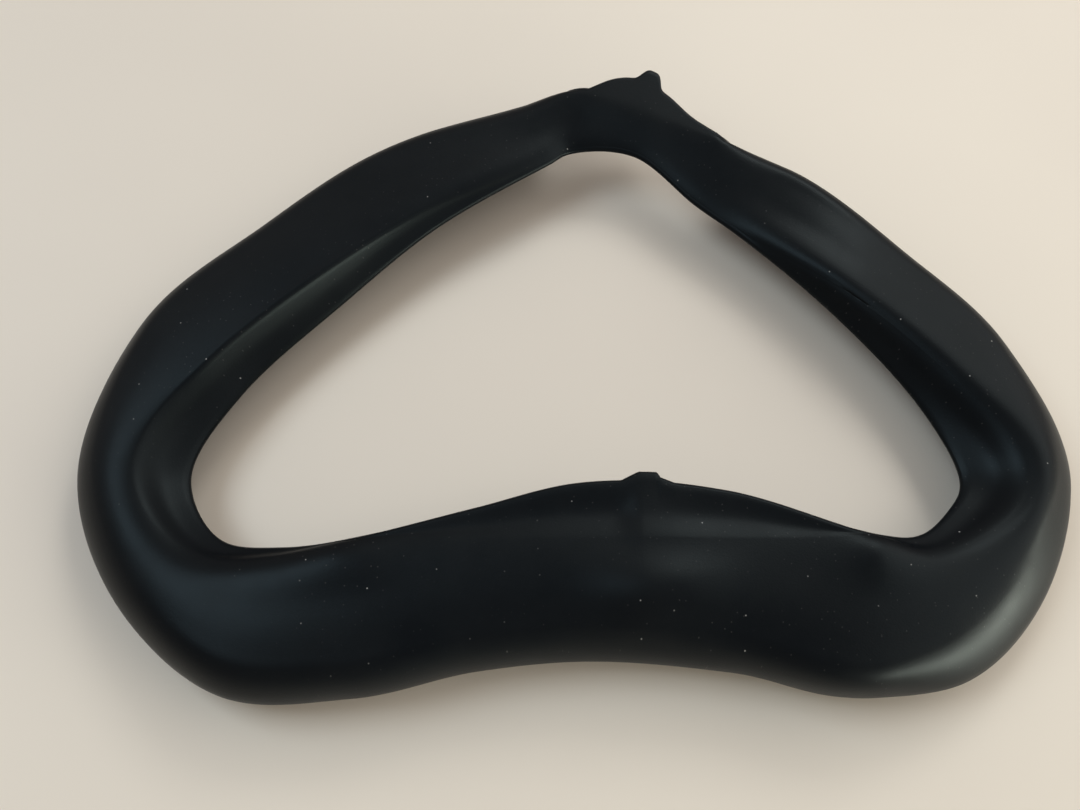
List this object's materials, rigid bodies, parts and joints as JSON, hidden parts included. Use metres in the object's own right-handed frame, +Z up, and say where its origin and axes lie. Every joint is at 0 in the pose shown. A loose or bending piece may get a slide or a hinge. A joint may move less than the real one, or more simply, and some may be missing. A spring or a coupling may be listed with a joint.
{
  "type": "silicone face cover for a head-mounted display",
  "caption": "Limp black silicone ring that slips over the face cushion of a head-mounted display: broad face panel, rolled outer wall, turned-in hem, eye-opening lip and pull tabs.",
  "frame": {"origin": "Middle of the cover's footprint, on the surface that it lies on.", "axes": "+X to the wearer-side right of the picture, along the width; +Y from the forehead to the nose; +Z up, away from the surface, on the face side."},
  "size_m": [0.1904, 0.1352, 0.0195],
  "materials": {
    "silicone": "matte moulded silicone with a soft sheen"
  },
  "bodies": {
    "forehead_half": {"forehead_panel_left": "silicone", "forehead_panel_right": "silicone", "temple_panel_left": "silicone", "temple_panel_right": "silicone", "forehead_wall_left": "silicone", "forehead_wall_right": "silicone", "temple_wall_left": "silicone", "temple_wall_right": "silicone", "forehead_hem_left": "silicone", "forehead_hem_right": "silicone", "temple_hem_left": "silicone", "temple_hem_right": "silicone", "temple_lip_left": "silicone", "temple_lip_right": "silicone"},
    "nose_half": {"cheek_panel_left": "silicone", "cheek_panel_right": "silicone", "nose_panel_left": "silicone", "nose_panel_right": "silicone", "cheek_wall_left": "silicone", "cheek_wall_right": "silicone", "cheek_hem_left": "silicone", "cheek_hem_right": "silicone", "cheek_lip_left": "silicone", "cheek_lip_right": "silicone"},
    "forehead_lip": {"forehead_lip_left": "silicone", "forehead_lip_right": "silicone", "forehead_tab": "silicone"},
    "nose_lip": {"nose_lip": "silicone", "nose_tab": "silicone"}
  },
  "joints": [
    {"name": "temple_fold", "type": "hinge", "parent": "forehead_half", "child": "nose_half", "pos_m": [0, -0.0264, 0.01665], "axis": [1, 0, 0], "range_deg": [0, 150], "stiffness_Nm_per_rad": 0.02},
    {"name": "forehead_lip_flex", "type": "hinge", "parent": "forehead_half", "child": "forehead_lip", "pos_m": [0, -0.0407, 0.017], "axis": [1, 0, 0], "range_deg": [-80, 10], "stiffness_Nm_per_rad": 0.002},
    {"name": "nose_lip_flex", "type": "hinge", "parent": "nose_half", "child": "nose_lip", "pos_m": [0.00374, 0.06003, 0.01509], "axis": [0.9215, -0.3879, -0.0179], "range_deg": [-60, 30], "stiffness_Nm_per_rad": 0.002}
  ]
}
